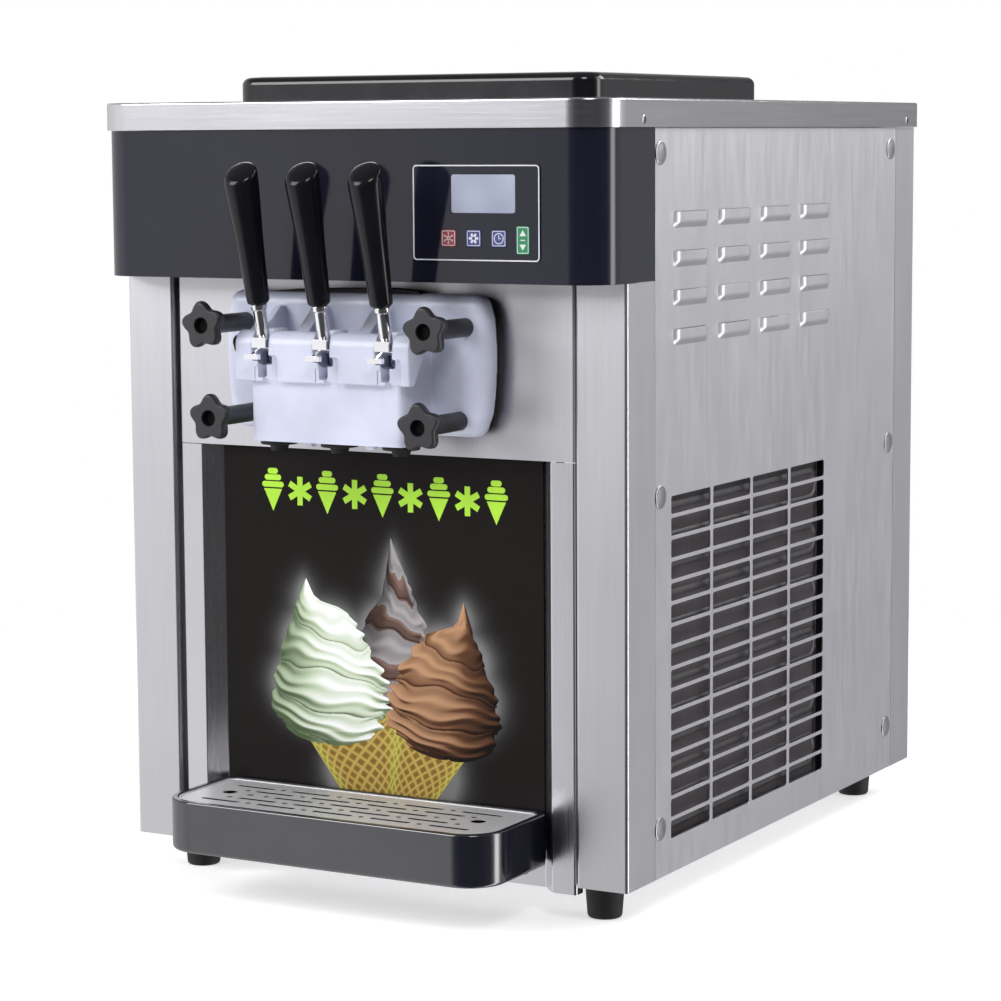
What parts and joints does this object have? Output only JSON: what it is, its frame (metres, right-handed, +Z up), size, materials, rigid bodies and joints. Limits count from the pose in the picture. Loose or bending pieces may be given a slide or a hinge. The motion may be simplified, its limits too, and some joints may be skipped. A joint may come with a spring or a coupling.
{
  "type": "soft serve machine",
  "caption": "Countertop soft serve machine with two hoppers under a lid, a twist dispensing head, draw handles, a drip tray and a drive and cooling unit in a steel case.",
  "frame": {"origin": "bottom centre of the whole machine, on the surface it stands on", "axes": "+Z up, -Y the front with the handles, +X the side with the control panel"},
  "size_m": [0.538, 0.7956, 0.7605],
  "materials": {
    "brushed_steel_bright": "bright stainless, vertical brushing",
    "brushed_steel_sheet": "stainless sheet, satin",
    "fascia_gloss": "dark slate, high gloss",
    "black_gloss": "black, gloss",
    "black_satin": "black, satin",
    "knob_plastic": "dark grey, fine grain",
    "head_plastic": "bluish white, moulded",
    "chrome": "polished",
    "rubber": "black, matte",
    "display": "grey-blue window",
    "key_red": "red key, plain snowflake sign",
    "key_blue": "dark blue key, plain sign",
    "key_green": "green key with two white arrows",
    "poster": "near-black printed sheet",
    "black_paint": "black enamel",
    "alloy": "plain alloy",
    "insulation": "black foam jacket"
  },
  "bodies": {
    "machine": {"front_post_left": "brushed_steel_bright", "front_post_right": "brushed_steel_bright", "rear_post_left": "brushed_steel_bright", "rear_post_right": "brushed_steel_bright", "top_cover": "brushed_steel_bright", "upper_front_panel": "brushed_steel_bright", "lower_front_panel": "brushed_steel_bright", "hopper_left": "brushed_steel_bright", "hopper_right": "brushed_steel_bright", "side_panel_left": "brushed_steel_sheet", "side_panel_right": "brushed_steel_sheet", "rear_panel": "brushed_steel_sheet", "base_pan": "brushed_steel_sheet", "front_fascia": "fascia_gloss", "control_bezel": "black_gloss", "nozzle_left": "black_satin", "nozzle_middle": "black_satin", "nozzle_right": "black_satin", "power_inlet": "black_satin", "dispensing_head": "head_plastic", "pivot_pin": "chrome", "foot_front_left": "rubber", "foot_front_right": "rubber", "foot_rear_left": "rubber", "foot_rear_right": "rubber", "drive_belt": "rubber", "display_window": "display", "poster_panel": "poster", "compressor": "black_paint", "drive_motor": "black_paint", "fan_motor": "black_paint", "condenser": "alloy", "gearbox": "alloy", "freezing_cylinder_left": "insulation", "freezing_cylinder_right": "insulation"},
    "handle_left": {"lever_left": "chrome", "grip_left": "black_gloss"},
    "plunger_left": {"piston_left": "head_plastic"},
    "handle_middle": {"lever_middle": "chrome", "grip_middle": "black_gloss"},
    "plunger_middle": {"piston_middle": "head_plastic"},
    "handle_right": {"lever_right": "chrome", "grip_right": "black_gloss"},
    "plunger_right": {"piston_right": "head_plastic"},
    "knob_upper_left": {"knob_upper_left": "knob_plastic"},
    "knob_upper_right": {"knob_upper_right": "knob_plastic"},
    "knob_lower_left": {"knob_lower_left": "knob_plastic"},
    "knob_lower_right": {"knob_lower_right": "knob_plastic"},
    "lid": {"hopper_lid": "black_gloss"},
    "tray": {"drip_tray": "black_gloss"},
    "grid": {"drip_grid": "brushed_steel_bright"},
    "key_cool": {"key_cool": "key_red"},
    "key_freeze": {"key_freeze": "key_blue"},
    "key_clock": {"key_clock": "key_blue"},
    "key_up_down": {"key_up_down": "key_green"},
    "motor_pulley": {"motor_pulley": "alloy"},
    "gearbox_pulley": {"gearbox_pulley": "alloy"},
    "beater_left": {"beater_left": "alloy"},
    "beater_right": {"beater_right": "alloy"},
    "condenser_fan": {"condenser_fan": "black_satin"}
  },
  "joints": [
    {"name": "handle_left_pull", "type": "hinge", "parent": "machine", "child": "handle_left", "pos_m": [-0.0645, -0.3442, 0.518], "axis": [1, 0, 0], "range_deg": [0, 40]},
    {"name": "plunger_left_lift", "type": "slide", "parent": "machine", "child": "plunger_left", "axis": [0, 0, 1], "range_m": [0, 0.01238]},
    {"name": "handle_middle_pull", "type": "hinge", "parent": "machine", "child": "handle_middle", "pos_m": [0, -0.3442, 0.518], "axis": [1, 0, 0], "range_deg": [0, 40]},
    {"name": "plunger_middle_lift", "type": "slide", "parent": "machine", "child": "plunger_middle", "axis": [0, 0, 1], "range_m": [0, 0.01238]},
    {"name": "handle_right_pull", "type": "hinge", "parent": "machine", "child": "handle_right", "pos_m": [0.0645, -0.3442, 0.518], "axis": [1, 0, 0], "range_deg": [0, 40]},
    {"name": "plunger_right_lift", "type": "slide", "parent": "machine", "child": "plunger_right", "axis": [0, 0, 1], "range_m": [0, 0.01238]},
    {"name": "knob_upper_left_turn", "type": "hinge", "parent": "machine", "child": "knob_upper_left", "pos_m": [-0.116, -0.3752, 0.5355], "axis": [0, 1, 0], "continuous": true},
    {"name": "knob_upper_right_turn", "type": "hinge", "parent": "machine", "child": "knob_upper_right", "pos_m": [0.116, -0.3752, 0.5355], "axis": [0, 1, 0], "continuous": true},
    {"name": "knob_lower_left_turn", "type": "hinge", "parent": "machine", "child": "knob_lower_left", "pos_m": [-0.1095, -0.3752, 0.452], "axis": [0, 1, 0], "continuous": true},
    {"name": "knob_lower_right_turn", "type": "hinge", "parent": "machine", "child": "knob_lower_right", "pos_m": [0.1095, -0.3752, 0.452], "axis": [0, 1, 0], "continuous": true},
    {"name": "lid_lift", "type": "slide", "parent": "machine", "child": "lid", "axis": [0, 0, 1], "range_m": [0, 0.15]},
    {"name": "tray_pull", "type": "slide", "parent": "machine", "child": "tray", "axis": [0, -1, 0], "range_m": [0, 0.12]},
    {"name": "grid_lift", "type": "slide", "parent": "tray", "child": "grid", "axis": [0, 0, 1], "range_m": [0, 0.08]},
    {"name": "key_cool_press", "type": "slide", "parent": "machine", "child": "key_cool", "axis": [0, 1, 0], "range_m": [0, 0.001], "stiffness_N_per_m": 600, "springref_m": -0.0005},
    {"name": "key_freeze_press", "type": "slide", "parent": "machine", "child": "key_freeze", "axis": [0, 1, 0], "range_m": [0, 0.001], "stiffness_N_per_m": 600, "springref_m": -0.0005},
    {"name": "key_clock_press", "type": "slide", "parent": "machine", "child": "key_clock", "axis": [0, 1, 0], "range_m": [0, 0.001], "stiffness_N_per_m": 600, "springref_m": -0.0005},
    {"name": "key_up_down_rock", "type": "hinge", "parent": "machine", "child": "key_up_down", "pos_m": [0.188, -0.3217, 0.6138], "axis": [1, 0, 0], "range_deg": [-3, 3], "stiffness_Nm_per_rad": 0.05},
    {"name": "motor_spin", "type": "hinge", "parent": "machine", "child": "motor_pulley", "pos_m": [0, 0.1758, 0.305], "axis": [0, 1, 0], "continuous": true},
    {"name": "gearbox_input_spin", "type": "hinge", "parent": "machine", "child": "gearbox_pulley", "pos_m": [0, 0.1758, 0.505], "axis": [0, 1, 0], "continuous": true},
    {"name": "beater_left_spin", "type": "hinge", "parent": "machine", "child": "beater_left", "pos_m": [-0.0645, -0.2652, 0.505], "axis": [0, 1, 0], "continuous": true},
    {"name": "beater_right_spin", "type": "hinge", "parent": "machine", "child": "beater_right", "pos_m": [0.0645, -0.2652, 0.505], "axis": [0, 1, 0], "continuous": true},
    {"name": "fan_spin", "type": "hinge", "parent": "machine", "child": "condenser_fan", "pos_m": [0.188, -0.0162, 0.225], "axis": [1, 0, 0], "continuous": true}
  ],
  "couplings": [
    {"joint": "plunger_left_lift", "follows": "handle_left_pull", "m_per_rad": 0.017726},
    {"joint": "plunger_middle_lift", "follows": "handle_middle_pull", "m_per_rad": 0.017726},
    {"joint": "plunger_right_lift", "follows": "handle_right_pull", "m_per_rad": 0.017726},
    {"joint": "gearbox_input_spin", "follows": "motor_spin", "ratio": 0.5},
    {"joint": "beater_left_spin", "follows": "motor_spin", "ratio": -0.125},
    {"joint": "beater_right_spin", "follows": "motor_spin", "ratio": -0.125}
  ]
}
